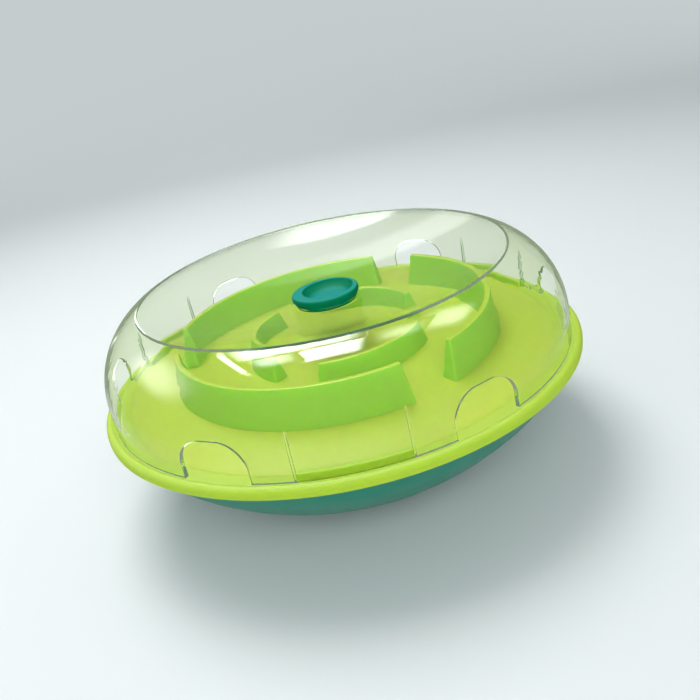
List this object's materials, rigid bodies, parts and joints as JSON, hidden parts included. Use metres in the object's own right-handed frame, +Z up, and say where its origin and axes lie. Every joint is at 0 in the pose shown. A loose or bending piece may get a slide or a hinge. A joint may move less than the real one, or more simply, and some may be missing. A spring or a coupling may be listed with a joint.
{
  "type": "dog wobble bowl",
  "caption": "Treat maze bowl for dogs: a clear dished cover with exit arches over a ring maze tray, on a round weighted base that rocks and rights itself.",
  "frame": {"origin": "centre of the flat foot, on the surface that the bowl stands on", "axes": "+Z up along the bowl's own axis, -Y towards the camera's side of the picture, +X to the right"},
  "size_m": [0.28, 0.28, 0.1276],
  "materials": {
    "clear_plastic": "clear, polished, colourless injection-moulded plastic",
    "green_plastic": "lime green moulded plastic, satin gloss",
    "teal_plastic": "teal moulded plastic, satin gloss",
    "plug_plastic": "bright teal moulded plastic, glossy",
    "cast_iron": "as cast, blackened",
    "screw_steel": "zinc plated"
  },
  "bodies": {
    "base": {"base_bowl": "teal_plastic", "maze_tray": "green_plastic", "ballast_weight": "cast_iron", "ballast_screw_1": "screw_steel", "ballast_screw_2": "screw_steel", "ballast_screw_3": "screw_steel", "tray_screw_1": "screw_steel", "tray_screw_2": "screw_steel", "tray_screw_3": "screw_steel"},
    "cover": {"clear_cover": "clear_plastic"},
    "plug": {"fill_plug": "plug_plastic"}
  },
  "joints": [
    {"name": "cover_lift", "type": "slide", "parent": "base", "child": "cover", "axis": [0, 0, 1], "range_m": [0, 0.04]},
    {"name": "plug_pull", "type": "slide", "parent": "cover", "child": "plug", "axis": [0, 0, 1], "range_m": [0, 0.03]}
  ]
}
